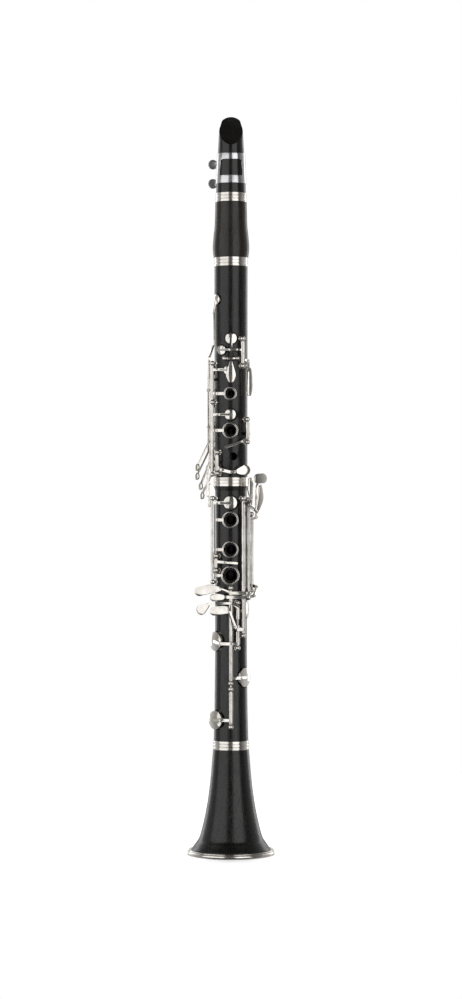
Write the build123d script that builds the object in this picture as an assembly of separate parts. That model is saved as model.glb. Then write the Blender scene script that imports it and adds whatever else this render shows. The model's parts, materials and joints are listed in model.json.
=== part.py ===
from build123d import *
from math import sin, cos, radians, sqrt, atan2, degrees
import os

# A B-flat soprano clarinet of the Boehm system, standing on its bell, in millimetres.
# The origin is the centre of the bell's rim, +Z runs up the bore and -Y is the front.
# Places round the body are given as an angle (0 in front, + to the right), a radius
# from the bore's axis and a height.

os.makedirs("parts", exist_ok=True)

# ---- driving dimensions ----
bell_height = 102.5
lower_length = 237.0
upper_length = 190.0
barrel_length = 66.0
mouthpiece_length = 70.0

bore = 7.35                 # radius of the cylindrical bore
bell_rim = 39.5             # outer radius of the metal ring round the bell's mouth
lower_radius = 14.3         # outside of the lower joint's wood
upper_radius = 14.75        # outside of the upper joint's wood
barrel_radius = 16.5        # widest place of the barrel
socket_radius = 11.45       # sockets of the lower joint and the barrel
bell_socket = 13.55         # socket of the bell
cork_fit = 0.05             # a cork's clearance in its socket
ring_wall = 1.6             # thickness of the metal socket rings
ring_height = 8.0

rod = 1.0                   # radius of a steel hinge rod
running = 0.06              # a key tube's clearance on its rod
tube = 1.9                  # outer radius of a key tube
rod_height = 4.6            # from the wood's surface to a rod's axis
post_ball = 2.35            # radius of a post's head
post_stem = 1.45
post_depth = 1.6            # how deep a post is let into the wood
post_gap = 0.3              # end play between a key tube and a post

seat_lift = 0.08            # a closed pad's clearance over its seat
pad_thick = 1.9
cup_wall = 0.6
arm_width = 2.6
arm_thick = 1.5
ring_thick = 1.7            # thickness of a finger ring
ring_play = 0.8             # a ring's clearance round its chimney
dome_reach = 0.62           # a touch's dome against its width; less makes it rounder

# ---- heights that follow ----
lower_bottom = bell_height
lower_top = lower_bottom + lower_length
upper_top = lower_top + upper_length
barrel_top = upper_top + barrel_length
tip_top = barrel_top + mouthpiece_length
bell_tenon = 17.0
middle_tenon = 20.0
barrel_tenon = 17.0
mouthpiece_tenon = 15.5
tenon_gap = 0.5             # air left at the end of each socket

upper_rod = upper_radius + rod_height
lower_rod = lower_radius + rod_height

UP = (Align.CENTER, Align.CENTER, Align.MIN)


# ---- helpers ----
def outward(angle):
    return Vector(sin(radians(angle)), -cos(radians(angle)), 0)


def around(angle, radius, height):
    return outward(angle) * radius + Vector(0, 0, height)


def facing(angle, radius, height):
    """A plane that looks outward, with its y axis up the bore."""
    side = (cos(radians(angle)), sin(radians(angle)), 0)
    return Plane(origin=around(angle, radius, height), x_dir=side, z_dir=outward(angle))


def stud(angle, inner, outer, height, radius):
    """A round stud that stands out from the bore's axis."""
    return facing(angle, inner, height) * Cylinder(radius, outer - inner, align=UP)


def collar(low, high, outer, inner):
    """A ring round the bore."""
    ring = Cylinder(outer, high - low, align=UP) - Cylinder(inner, high - low, align=UP)
    return Pos(0, 0, low) * ring


def strip(start, end, inner, outer, low, high):
    """A strip bent round the body from one angle to another."""
    near = CenterArc((0, 0), inner, start - 90, end - start)
    far = CenterArc((0, 0), outer, start - 90, end - start)
    outline = make_face([near, far, Line(near @ 0, far @ 0), Line(near @ 1, far @ 1)])
    return Pos(0, 0, low) * extrude(outline, high - low, dir=(0, 0, 1))


def pin(start, end, radius):
    """A round bar from one point to another."""
    along = end - start
    return Plane(origin=start, z_dir=along) * Cylinder(radius, along.length, align=UP)


def bar(start, end, angle, width=arm_width, thick=arm_thick):
    """A flat bar with round ends whose flat side looks outward at the angle."""
    along = end - start
    unit = along.normalized()
    face = outward(angle)
    normal = face - unit * face.dot(unit)
    place = Plane(origin=(start + end) * 0.5, x_dir=along, z_dir=normal)
    flat = extrude(SlotCenterToCenter(along.length, width), thick / 2, both=True)
    return place * flat


def ribbon(points, width=arm_width, thick=arm_thick, look=None):
    """Flat bars joined end to end through (angle, radius, height) points."""
    bars = []
    for first, second in zip(points, points[1:]):
        angle = (first[0] + second[0]) / 2 if look is None else look
        bars.append(bar(around(*first), around(*second), angle, width, thick))
    return bars


def petal(angle, radius, height, circles, thick=2.1):
    """A domed plate round a few circles, each (sideways, up, radius)."""
    if len(circles) == 1:
        flat = Pos(circles[0][0], circles[0][1]) * Circle(circles[0][2])
    else:
        flat = make_hull([e for x, y, r in circles for e in (Pos(x, y) * Circle(r)).edges()])
    box = flat.bounding_box()
    middle = box.center()
    crown = scale(Sphere(1), (dome_reach * box.size.X, dome_reach * box.size.Y, thick))
    plate = extrude(flat, thick, dir=(0, 0, 1)) & (Pos(middle.X, middle.Y) * crown)
    return facing(angle, radius, height) * plate


def cup(angle, seat, height, radius):
    """A cone-topped key cup that holds a pad over a seat at the given radius."""
    rim = seat + seat_lift + 0.9
    roof = seat + seat_lift + pad_thick
    shell = stud(angle, rim, roof + cup_wall, height, radius)
    shell += facing(angle, roof + cup_wall, height) * Cone(radius, radius * 0.3, 0.9, align=UP)
    return shell - stud(angle, rim - 1, roof, height, radius - cup_wall)


def cup_top(seat):
    """The radius from the bore's axis where an arm lies on a cup."""
    return seat + seat_lift + pad_thick + cup_wall + 0.45


def pad(angle, seat, height, radius):
    """The pad in such a cup, with a bulged face."""
    disc = Cylinder(radius - cup_wall - 0.05, pad_thick, align=UP)
    disc = chamfer(disc.faces().sort_by(Axis.Z)[0].edges(), 0.3)
    return facing(angle, seat + seat_lift, height) * disc


def finger_ring(angle, radius, height, hole, wall):
    """A finger ring that lies flat over its chimney."""
    ring = Cylinder(hole + wall, ring_thick, align=UP) - Cylinder(hole, ring_thick, align=UP)
    ring = fillet(ring.faces().sort_by(Axis.Z)[-1].edges(), 0.5)
    return facing(angle, radius, height) * ring


def hinge_axis(angle, radius):
    return Axis(around(angle, radius, 0), (0, 0, 1))


def sleeve(angle, radius, low, high, outer=tube):
    return Pos(*around(angle, radius, low)) * Cylinder(outer, high - low, align=UP)


def join(shapes):
    return shapes[0].fuse(*shapes[1:]).clean()


def save(name, *shapes):
    """Write one node; several shapes stay separate solids in it."""
    solids = [solid for shape in shapes for solid in shape.solids()]
    body = solids[0] if len(solids) == 1 else Compound(children=solids)
    export_step(body, "parts/" + name + ".step")


# ---- tone holes ----
# padded holes: angle, height, cup radius, seat radius from the axis, hole radius
a_hole = (0, lower_top + 124.6, 5.05, upper_radius - 1.45, 2.6)
g_sharp_hole = (-33, lower_top + 114.2, 4.3, upper_radius - 1.35, 2.4)
register_hole = (180, lower_top + 158, 4.2, upper_radius + 1.05, 1.7)
index_vent = (-6, lower_top + 96, 4.2, upper_radius - 1.35, 2.3)
bridge_vent = (0, lower_top + 56.2, 4.95, upper_radius - 1.45, 2.8)
c_sharp_hole = (-94, lower_top + 13.5, 4.6, upper_radius - 1.45, 2.6)
upper_sliver_hole = (84, lower_top + 39.4, 4.1, upper_radius - 1.35, 2.3)
trill_lanes = (-82, -96.5, -111, -125.5)
trill_holes = [
    (-57, lower_top + 159.8, 4.7, upper_radius - 1.35, 2.2),
    (trill_lanes[1], lower_top + 97, 4.6, upper_radius - 1.35, 2.2),
    (trill_lanes[2], lower_top + 67.3, 4.6, upper_radius - 1.35, 2.2),
    (trill_lanes[3], lower_top + 48, 4.0, upper_radius - 1.35, 2.0),
]
lower_vent = (0, lower_top - 22.9, 6.0, lower_radius - 1.6, 3.4)
lower_sliver_hole = (-98, lower_top - 76.5, 5.2, lower_radius - 1.5, 3.0)
f_c_hole = (-62, lower_bottom + 89.7, 8.6, lower_radius - 1.9, 5.6)
a_flat_hole = (80, lower_bottom + 118, 8.1, lower_radius - 1.9, 5.2)
f_sharp_hole = (58, lower_bottom + 57.2, 8.7, lower_radius - 1.8, 5.8)
e_b_hole = (-57, lower_bottom + 19, 8.4, lower_radius - 1.4, 5.8)
upper_pads = [a_hole, g_sharp_hole, index_vent, bridge_vent, c_sharp_hole, upper_sliver_hole]
upper_pads += trill_holes
lower_pads = [lower_vent, lower_sliver_hole, f_c_hole, a_flat_hole, f_sharp_hole, e_b_hole]

# finger holes with rings: angle, height, hole radius, inner radius of the ring, its wall
index_hole = (0, lower_top + 75, 3.0, 4.4, 1.6)
middle_hole = (0, lower_top + 42, 4.0, 5.7, 1.5)
thumb_hole = (180, lower_top + 98, 3.2, 5.2, 1.6)
right_holes = [
    (0, lower_top - 38.2, 4.2, 6.0, 1.5),
    (0, lower_top - 64.8, 4.2, 6.0, 1.5),
    (0, lower_top - 88.0, 4.9, 6.8, 1.6),
]
open_hole = (8, lower_top + 18.8, 3.6)
chimney_height = 2.2
ring_lift = 0.25            # a pressed ring's clearance over the wood

# ---- posts: angle, height, for the rods that run up the bore ----
ring_rod = -60.5            # the rod of the ring keys, left of the holes
thumb_rod = -146
g_sharp_rod = 33
sliver_rod = 50
c_sharp_rod = -40
low_rod = 0                 # E/B and F sharp/C sharp keys
f_c_rod = 18.8
lever_rods = (36, 55.6, 78)
lower_sliver_rod = -45

upper_posts = [
    (ring_rod, lower_top + 102.5), (ring_rod, lower_top + 67.5), (ring_rod, lower_top + 2.6),
    (thumb_rod, lower_top + 107.5), (thumb_rod, lower_top + 83.5),
    (g_sharp_rod, lower_top + 124.3), (g_sharp_rod, lower_top + 99.8),
    (sliver_rod, lower_top + 52), (sliver_rod, lower_top + 31.8),
    (c_sharp_rod, lower_top + 22.4), (c_sharp_rod, lower_top + 3.6),
]
lower_posts = [
    (ring_rod, lower_top - 18.8), (ring_rod, lower_top - 94),
    (lower_sliver_rod, lower_top - 70.6), (lower_sliver_rod, lower_top - 83.5),
    (low_rod, lower_bottom + 137.8), (low_rod, lower_bottom + 52.5),
    (low_rod, lower_bottom + 47.2), (low_rod, lower_bottom + 13.3),
    (f_c_rod, lower_bottom + 124.6), (f_c_rod, lower_bottom + 84),
    (lever_rods[0], lower_top - 19), (lever_rods[0], lower_bottom + 95),
    (lever_rods[1], lower_top - 20), (lever_rods[1], lower_bottom + 128.8),
    (lever_rods[2], lower_top - 33), (lever_rods[2], lower_bottom + 135.2),
]
post_hole = post_stem + 0.03


lower_outline = [
    (15.6, lower_bottom), (14.9, lower_bottom + 28), (lower_radius, lower_bottom + 78),
    (lower_radius, lower_top - ring_height - 4),
]
upper_outline = [(upper_radius, lower_top), (upper_radius + 0.2, upper_top)]


def wood_radius(outline, height):
    """The radius of a turned body at a height between the points of its outline."""
    for (r1, z1), (r2, z2) in zip(outline, outline[1:]):
        if z1 <= height <= z2:
            return r1 + (r2 - r1) * (height - z1) / (z2 - z1)
    return outline[-1][0]


def post_holes(places, surface):
    floor = surface - post_depth
    return [stud(angle, floor, surface + 3, height, post_hole) for angle, height in places]


def pad_recess(angle, height, radius, seat, hole):
    """A spot face round a tone hole that leaves a raised crown for the pad."""
    groove = 0.5
    recess = stud(angle, seat - groove, seat + 6, height, radius + 0.9)
    return recess - stud(angle, seat - groove, seat, height, hole + 1.1)


def tone_holes(places):
    return [stud(place[0], 0, 30, place[1], place[-1]) for place in places]


# ---- wooden bodies ----
def tenon(low, high, radius, inner):
    """A wooden tenon with a groove for its cork."""
    groove = (high - low) * 0.2
    wood = collar(low, high, radius, inner)
    return wood - collar(low + groove, high - groove, radius + 1, radius - 0.7)


def cork(low, high, radius, socket):
    groove = (high - low) * 0.2
    return collar(low + groove, high - groove, socket - cork_fit, radius - 0.7)


def turned(points, low, high, inner):
    """A body turned round the bore through (radius, height) points, straight between them."""
    outline = [(inner, low)] + points + [(inner, high)]
    return revolve(make_face(Polyline([(r, 0, z) for r, z in outline], close=True)), Axis.Z)


tenon_radius = socket_radius - 0.55


def grooved_ring(low, high, outer, inner):
    """A metal socket ring with two turned grooves."""
    ring = collar(low, high, outer, inner)
    step = (high - low) / 3
    cuts = [collar(low + step * n - 0.3, low + step * n + 0.3, outer + 1, outer - 0.35) for n in (1, 2)]
    return ring - cuts


# bell: its wood, the ring at its socket and the ring round its mouth
bell_ring_outer = 16.2
bell_ring_inner = bell_ring_outer - ring_wall
rim_wood = bell_rim - 3.5
rim_top = 4.4
bell_curve = [
    (rim_wood, rim_top), (31.4, 10.8), (28.0, 16.9), (23.7, 34.1), (20.6, 51.3), (18.4, 68.6),
    (16.4, bell_height - ring_height - 2.5),
]
flare = [(rim_wood - 2.4, 1.0), (29.0, 6.4), (25.0, 12.4), (20.3, 30.0), (17.0, 50.0), (14.0, 68.0)]
socket_floor = bell_height - bell_tenon - tenon_gap
neck = bell_height - ring_height


def make_bell():
    outer = Spline([(r, 0, z) for r, z in bell_curve])
    inner = Spline([(r, 0, z) for r, z in flare] + [(11.2, 0, socket_floor)])
    top = Polyline([outer @ 1, (bell_ring_outer, 0, neck), (bell_ring_inner, 0, neck),
                    (bell_ring_inner, 0, bell_height), (bell_socket, 0, bell_height),
                    (bell_socket, 0, socket_floor), inner @ 1])
    lip = Polyline([inner @ 0, (rim_wood, 0, flare[0][1]), outer @ 0])
    return revolve(make_face([outer, inner] + list(top.edges()) + list(lip.edges())), Axis.Z)


def make_rim_ring():
    middle = rim_top / 2
    low = Line((rim_wood, 0, 0), (bell_rim - middle, 0, 0))
    bead = ThreePointArc((bell_rim - middle, 0, 0), (bell_rim, 0, middle),
                         (bell_rim - middle, 0, rim_top))
    top = Polyline([(bell_rim - middle, 0, rim_top), (rim_wood, 0, rim_top), (rim_wood, 0, 0)])
    ring = revolve(make_face([low, bead] + list(top.edges())), Axis.Z)
    return ring


save("bell", make_bell())
save("bell_rings", grooved_ring(neck, bell_height, bell_ring_outer, bell_ring_inner), make_rim_ring())

# lower joint
lower_ring_outer = 15.6
lower_ring_inner = lower_ring_outer - ring_wall
bell_tenon_radius = bell_socket - 0.55
foot_bore = 10.4            # the bore widens to this at the bell


def make_lower_body():
    shoulder = [(lower_ring_outer, lower_top - ring_height), (lower_ring_inner, lower_top - ring_height),
                (lower_ring_inner, lower_top)]
    shape = turned(lower_outline + shoulder, lower_bottom, lower_top, 0)
    shape += tenon(lower_bottom - bell_tenon, lower_bottom, bell_tenon_radius, 0.001)
    shape += [stud(a, 8, lower_radius + chimney_height, z, ring - ring_play) for a, z, _, ring,
              _ in right_holes]
    cone = Cone(foot_bore, bore, 95, align=UP)
    socket = lower_top - middle_tenon - tenon_gap
    shape -= Pos(0, 0, lower_bottom - bell_tenon) * cone
    shape -= Pos(0, 0, lower_bottom - bell_tenon) * Cylinder(bore, lower_length + 20, align=UP)
    shape -= Pos(0, 0, socket) * Cylinder(socket_radius, middle_tenon + 5, align=UP)
    shape -= [pad_recess(*place) for place in lower_pads]
    shape -= tone_holes(lower_pads)
    shape -= [stud(a, 0, 30, z, hole) for a, z, hole, _, _ in right_holes]
    shape -= post_holes(lower_posts, lower_radius)
    return shape


save("lower_joint_body", make_lower_body())
save("lower_joint_socket_ring",
     grooved_ring(lower_top - ring_height, lower_top, lower_ring_outer, lower_ring_inner))
save("lower_joint_tenon_cork",
     cork(lower_bottom - bell_tenon, lower_bottom, bell_tenon_radius, bell_socket))

# upper joint
cross_rod = upper_radius + 3.4      # radius of the A and register keys' rods, across the bore
trill_rod = upper_radius + 5.75
# rods across the bore: angle, height, radius from the bore, half the posts' distance, ball, stem
a_pivot = (0, lower_top + 106.5, cross_rod, 6.0, 1.9, 1.3)
register_pivot = (180, lower_top + 132, cross_rod, 5.2, 1.9, 1.3)
trill_pivots = [
    (lane, lower_top + rise, trill_rod, 2.4, 1.1, 0.8)
    for lane, rise in zip(trill_lanes, (78.5, 45.5, 32.5, 26.5))
]
cross_posts = [a_pivot, register_pivot] + trill_pivots


def cross_place(angle, height, side, depth):
    """A place beside a radial line, at a depth below the wood's surface there."""
    level = sqrt(upper_radius ** 2 - side ** 2) - depth
    return facing(angle, level, height) * Pos(side, 0, 0)


def make_upper_body():
    shape = turned(upper_outline, lower_top, upper_top, 0)
    shape += tenon(lower_top - middle_tenon, lower_top, tenon_radius, 0.001)
    shape += tenon(upper_top, upper_top + barrel_tenon, tenon_radius, 0.001)
    for a, z, _, ring, _ in (index_hole, middle_hole):
        shape += stud(a, 8, upper_radius + chimney_height, z, ring - ring_play)
    shape -= Pos(0, 0, lower_top - middle_tenon) * Cylinder(
        bore, upper_length + middle_tenon + barrel_tenon, align=UP)
    shape -= [pad_recess(*place) for place in upper_pads]
    shape -= tone_holes(upper_pads)
    shape -= [stud(a, 0, 30, z, hole) for a, z, hole, _, _ in (index_hole, middle_hole)]
    shape -= stud(open_hole[0], 0, 30, open_hole[1], open_hole[2])
    shape -= stud(thumb_hole[0], bush_floor, 30, thumb_hole[1], thumb_bush + 0.03)
    shape -= stud(thumb_hole[0], 0, 30, thumb_hole[1], thumb_hole[2])
    shape -= stud(180, bush_floor, 30, register_hole[1], register_bush + 0.03)
    shape -= stud(180, 0, 30, register_hole[1], register_hole[4])
    shape -= post_holes(upper_posts, upper_radius)
    for angle, height, _, side, _, stem in cross_posts:
        for place in (side, -side):
            shape -= cross_place(angle, height, place, post_depth) * Cylinder(stem + 0.03, 8, align=UP)
    return shape


bush_floor = 9.5            # where the thumb and register bushes begin
thumb_bush = thumb_hole[3] - ring_play
register_bush = 2.7
save("upper_joint_body", make_upper_body())
save("upper_joint_corks",
     cork(lower_top - middle_tenon, lower_top, tenon_radius, socket_radius),
     cork(upper_top, upper_top + barrel_tenon, tenon_radius, socket_radius))
save("hole_bushes",
     stud(180, bush_floor, upper_radius + chimney_height, thumb_hole[1], thumb_bush)
     - stud(180, 0, 30, thumb_hole[1], thumb_hole[2]),
     stud(180, bush_floor, register_hole[3], register_hole[1], register_bush)
     - stud(180, 0, 30, register_hole[1], register_hole[4]))

# barrel
barrel_ring_low = 15.2
barrel_ring_high = 14.0


def make_barrel():
    low = upper_top + ring_height
    high = barrel_top - ring_height
    outer = Spline([(15.6, 0, low), (barrel_radius, 0, low + 8.7), (15.65, 0, low + 20.5),
                    (14.7, 0, high - 20), (14.2, 0, high)])
    edge = Polyline([outer @ 1, (barrel_ring_high - ring_wall, 0, high),
                     (barrel_ring_high - ring_wall, 0, barrel_top), (0, 0, barrel_top), (0, 0, upper_top),
                     (barrel_ring_low - ring_wall, 0, upper_top), (barrel_ring_low - ring_wall, 0, low),
                     outer @ 0])
    shape = revolve(make_face([outer] + list(edge.edges())), Axis.Z)
    shape -= Pos(0, 0, upper_top) * Cylinder(bore, barrel_length, align=UP)
    shape -= Pos(0, 0, upper_top) * Cylinder(socket_radius, barrel_tenon + tenon_gap, align=UP)
    depth = mouthpiece_tenon + tenon_gap
    return shape - Pos(0, 0, barrel_top - depth) * Cylinder(socket_radius, depth, align=UP)


save("barrel", make_barrel())
save("barrel_rings",
     grooved_ring(upper_top, upper_top + ring_height, barrel_ring_low, barrel_ring_low - ring_wall),
     grooved_ring(barrel_top - ring_height, barrel_top, barrel_ring_high, barrel_ring_high - ring_wall))

# ---- mouthpiece, reed and ligature ----
table = 8.4                 # the flat on the mouthpiece's back, from the axis
beak_start = 43.0           # where the beak begins, above the barrel
reed_butt = 4.0             # the reed's square end, above the barrel
reed_thick = 3.2
reed_width = 12.6
tip_rail = 0.9
tip_width = 16.4
mouth_curve = [(13.5, 0), (12.7, 20), (11.9, 36), (11.4, 44), (11.0, 54)]
ligature_low = 8.5
ligature_high = 35.5
ligature_wall = 0.65


def profile(points, width):
    """An extrusion across the bore of an outline of (depth, height above the barrel) points."""
    outline = make_face(Polyline([(0, y, barrel_top + z) for y, z in points], close=True))
    return extrude(outline, width / 2, both=True)


def front_outline():
    """What the mouthpiece keeps when seen from the front: its narrowing, rounded tip."""
    half = tip_width / 2
    shoulder = tip_top - 24
    corner = tip_top - 3.8
    cheek = (half + 2.3, tip_top - 12)
    wide = 15
    base = barrel_top - 1
    right = Polyline([(0, 0, base), (wide, 0, base), (wide, 0, shoulder), (cheek[0] + 0.9, 0, shoulder),
                      (cheek[0], 0, cheek[1]), (half, 0, corner)])
    crown = ThreePointArc((half, 0, corner), (0, 0, tip_top), (-half, 0, corner))
    left = Polyline([(-half, 0, corner), (-cheek[0], 0, cheek[1]), (-cheek[0] - 0.9, 0, shoulder),
                     (-wide, 0, shoulder), (-wide, 0, base), (0, 0, base)])
    return extrude(make_face(list(right.edges()) + [crown] + list(left.edges())), 20, both=True)


def make_mouthpiece():
    outer = Spline([(r, 0, barrel_top + z) for r, z in mouth_curve])
    inside = Polyline([outer @ 1, (mouth_curve[-1][0], 0, tip_top), (0, 0, tip_top), (0, 0, barrel_top),
                       (mouth_curve[0][0], 0, barrel_top)])
    shape = revolve(make_face([outer] + list(inside.edges())), Axis.Z)
    shape &= front_outline()
    shape += tenon(barrel_top - mouthpiece_tenon, barrel_top, tenon_radius, 0.001)
    beak = [(-20, beak_start - 2), (-11.4, beak_start), (-4.5, beak_start + 9.5),
            (table - tip_rail, mouthpiece_length), (-20, mouthpiece_length + 5)]
    back = [(table, reed_butt - 1), (20, reed_butt - 1), (20, mouthpiece_length + 5),
            (table, mouthpiece_length + 5)]
    chamber = [(-5, 20), (6, 20), (6, beak_start - 9), (table + 1, beak_start - 7),
               (table + 1, mouthpiece_length - 1.4), (table - 1.2, mouthpiece_length - 1.4)]
    shape -= profile(beak, 40)
    shape -= profile(back, 40)
    shape -= profile(chamber, 10.4)
    return shape - Pos(0, 0, barrel_top - mouthpiece_tenon) * Cylinder(bore, mouthpiece_tenon + 26,
                                                                       align=UP)


def make_reed():
    side = [(table, reed_butt), (table + reed_thick, reed_butt), (table + reed_thick, beak_start - 9),
            (table + 1.2, beak_start + 8), (table + 0.25, mouthpiece_length - 0.4),
            (table, mouthpiece_length - 0.4)]
    blank = profile(side, reed_width)
    round_back = Pos(0, 0, barrel_top) * Cylinder(table + reed_thick, mouthpiece_length, align=UP)
    return blank & round_back & front_outline()


ligature_slope = (mouth_curve[0][0] - mouth_curve[2][0]) / mouth_curve[2][1]
lug_radius = 2.6
lug_depth = 13.7            # from the axis to the screws
screw_heights = (10.2, 27.6)
screw_shank = 1.5
lug_inner = 4.2
lug_outer = 9.0
thumb_disc = 4.4
thumb_disc_place = 16.4


def ligature_inner(height):
    return mouth_curve[0][0] + 0.12 - ligature_slope * height


def make_ligature():
    low, high = ligature_low, ligature_high
    outline = Polyline(
        [(ligature_inner(low), 0, barrel_top + low),
         (ligature_inner(low) + ligature_wall, 0, barrel_top + low),
         (ligature_inner(high) + ligature_wall, 0, barrel_top + high),
         (ligature_inner(high), 0, barrel_top + high)], close=True)
    band = revolve(make_face(outline), Axis.Z)
    lugs = []
    for height in screw_heights:
        for side in (-lug_outer, lug_inner):
            start = Vector(side, lug_depth, barrel_top + height)
            lugs.append(pin(start, start + Vector(lug_outer - lug_inner, 0, 0), lug_radius))
    band += lugs
    hollow = Pos(0, 0, barrel_top + low - 5) * Cone(
        ligature_inner(low - 5), ligature_inner(high + 5), high - low + 10, align=UP)
    band -= hollow
    band -= Pos(0, 15, barrel_top + low - 5) * Box(2 * lug_inner - 0.6, 12, 40, align=UP)
    window = Pos(0, -14, barrel_top + 22.6) * Box(20, 12, 14.6)
    uprights = window.edges().filter_by(Axis.Y)
    window = fillet(uprights.sort_by(Axis.Z)[2:], 3.2)
    band -= window
    for height in screw_heights:
        start = Vector(-20, lug_depth, barrel_top + height)
        band -= pin(start, start + Vector(40, 0, 0), screw_shank + running)
    return band


def make_ligature_screw(height):
    level = barrel_top + height
    shank = pin(Vector(-12.5, lug_depth, level), Vector(lug_outer + 0.8, lug_depth, level), screw_shank)
    shoulder = pin(Vector(-12.8, lug_depth, level), Vector(-lug_outer - 0.3, lug_depth, level), 2.2)
    disc = Pos(-thumb_disc_place, lug_depth - 1.3, level) * Rot(-90, 0, 0) * Cylinder(thumb_disc, 2.6,
                                                                                      align=UP)
    disc = fillet(disc.edges().filter_by(GeomType.CIRCLE), 0.6)
    return join([shank, shoulder, disc])


save("mouthpiece", make_mouthpiece())
save("mouthpiece_cork", cork(barrel_top - mouthpiece_tenon, barrel_top, tenon_radius, socket_radius))
save("reed", make_reed())
save("ligature_band", make_ligature())
save("ligature_screw_lower", make_ligature_screw(screw_heights[0]))
save("ligature_screw_upper", make_ligature_screw(screw_heights[1]))

# ---- thumb rest, on the back of the lower joint ----
rest_height = lower_top - 52


def make_thumb_rest_base():
    plate = strip(165, 195, lower_radius, lower_radius + 1.3, rest_height - 16, rest_height + 16)
    rail = facing(180, lower_radius + 1, rest_height) * Box(5, 30, 2.2, align=UP)
    return plate + rail


def make_thumb_rest():
    level = lower_radius + 1.3
    block = facing(180, level + 0.4, rest_height - 2) * Box(11, 10, 4.4, align=UP)
    block -= facing(180, level - 1, rest_height - 2) * Box(5.3, 12, 3.2, align=UP)
    hook = facing(180, level + 4, rest_height - 2) * Box(14, 3, 15, align=UP)
    hook = fillet(hook.edges().filter_by(Axis.Z).sort_by(Axis.Y)[-2:], 4.5)
    eye = facing(180, level + eye_rise, rest_height + 2.6) * Rot(0, 90, 0)
    ring = eye * Cylinder(strap_hole + 1.6, 2.4)
    return join([block, hook, ring]) - eye * Cylinder(strap_hole, 20)


strap_hole = 2.4
eye_rise = 7.4              # the strap eye's centre above the base's face
save("thumb_rest_base", make_thumb_rest_base())
save("thumb_rest", make_thumb_rest())


# ---- posts and hinge rods ----
def rod_piece(angle, radius, low, high, size=rod):
    return Pos(*around(angle, radius, low)) * Cylinder(size, high - low, align=UP)


def upright_post(angle, surface, outline, height, hole):
    """A post with a ball that a hinge rod passes through, up the bore."""
    wood = wood_radius(outline, height) + 0.06
    axis_radius = surface + rod_height
    stem = stud(angle, surface - post_depth, axis_radius, height, post_stem)
    ball = Pos(*around(angle, axis_radius, height)) * Sphere(post_ball)
    foot = stud(angle, wood, wood + 0.8, height, post_stem + 0.7)
    return join([stem, ball, foot]) - rod_piece(angle, axis_radius, height - 9, height + 9, hole)


def cross_pair(angle, height, radius, side, ball, stem):
    """Two small posts that hold a rod across the bore."""
    posts = []
    for place in (side, -side):
        length = radius - sqrt(upper_radius ** 2 - side ** 2) + post_depth
        base = cross_place(angle, height, place, post_depth)
        bored = base * Pos(0, 0, length) * Rot(0, 90, 0) * Cylinder(cross_pin + 0.03, 12)
        head = base * Pos(0, 0, length) * Sphere(ball)
        posts.append((base * Cylinder(stem, length, align=UP) + head) - bored)
    return posts


def cross_line(angle, height, radius, size, length):
    """A round bar across the bore."""
    return facing(angle, radius, height) * Rot(0, 90, 0) * Cylinder(size, length)


cross_pin = 0.7
fixed_hole = rod + 0.03
turning_hole = rod + running
save("upper_joint_posts",
     *[upright_post(a, upper_radius, upper_outline, z, fixed_hole) for a, z in upper_posts],
     *[post for place in cross_posts for post in cross_pair(*place)])
save("lower_joint_posts",
     *[upright_post(a, lower_radius, lower_outline, z, turning_hole if a == low_rod else fixed_hole)
       for a, z in lower_posts])

rod_spans = []
for joint_posts, axis_radius in ((upper_posts, upper_rod), (lower_posts, lower_rod)):
    angles = sorted({angle for angle, _ in joint_posts if angle != low_rod})
    for angle in angles:
        levels = [z for a, z in joint_posts if a == angle]
        rod_spans.append((angle, axis_radius, min(levels) - 1.8, max(levels) + 1.8))
cross_pins = [cross_line(a, z, r, cross_pin, 2 * side + ball) for a, z, r, side, ball, _ in cross_posts]
save("hinge_rods", *[rod_piece(*span) for span in rod_spans], *cross_pins)


# ---- keys ----
# A key that stands open is built closed, with its pad flat on its seat, and then swung open.
def tube_between(angle, radius, low, high):
    """A key tube that fills the space between two posts."""
    return sleeve(angle, radius, low + post_ball + post_gap, high - post_ball - post_gap)


def bored(shape, angle, radius):
    """Bore a key's tube for its rod."""
    low = shape.bounding_box().min.Z - 1
    high = shape.bounding_box().max.Z + 1
    return shape - rod_piece(angle, radius, low, high, rod + running)


def cup_point(place):
    return (place[0], cup_top(place[3]), place[1])


def key_cup(place):
    return cup(place[0], place[3], place[1], place[2])


def pad_room(place):
    """The space in a key's cup that its pad fills."""
    angle, height, radius, seat, _ = place
    return stud(angle, seat - 2, seat + seat_lift + pad_thick, height, radius - cup_wall)


def key_pad(place):
    return pad(place[0], place[3], place[1], place[2])


def swung(shape, angle, radius, turn):
    return shape.rotate(hinge_axis(angle, radius), turn)


def ring_set(holes, rod_angle, rod_radius, surface):
    """Finger rings and their arms to a rod on the left."""
    parts = []
    for angle, height, _, hole, wall in holes:
        level = surface + ring_lift
        parts.append(finger_ring(angle, level, height, hole, wall))
        middle = level + ring_thick / 2
        edge = hole + wall * 0.5
        end = (-degrees(atan2(edge, middle)), sqrt(edge ** 2 + middle ** 2), height)
        bend = ((rod_angle + end[0]) / 2, surface + 3.6, height)
        parts += ribbon([(rod_angle, rod_radius, height), bend, end])
    return parts


def open_rings(shape, holes):
    return shape - [stud(a, 12, 24, z, hole) for a, z, _, hole, _ in holes]


ring_swing = 5.5            # how far the ring keys stand open, in degrees
ring_top, ring_middle, ring_low = [z for a, z in upper_posts if a == ring_rod]
low_top, low_foot = [z for a, z in lower_posts if a == ring_rod]
bridge_angle = -73.5
# the lower lever of the bridge, and the upper one over it
bridge_radius = (upper_radius + 5.45, upper_radius + 7.25)


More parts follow.
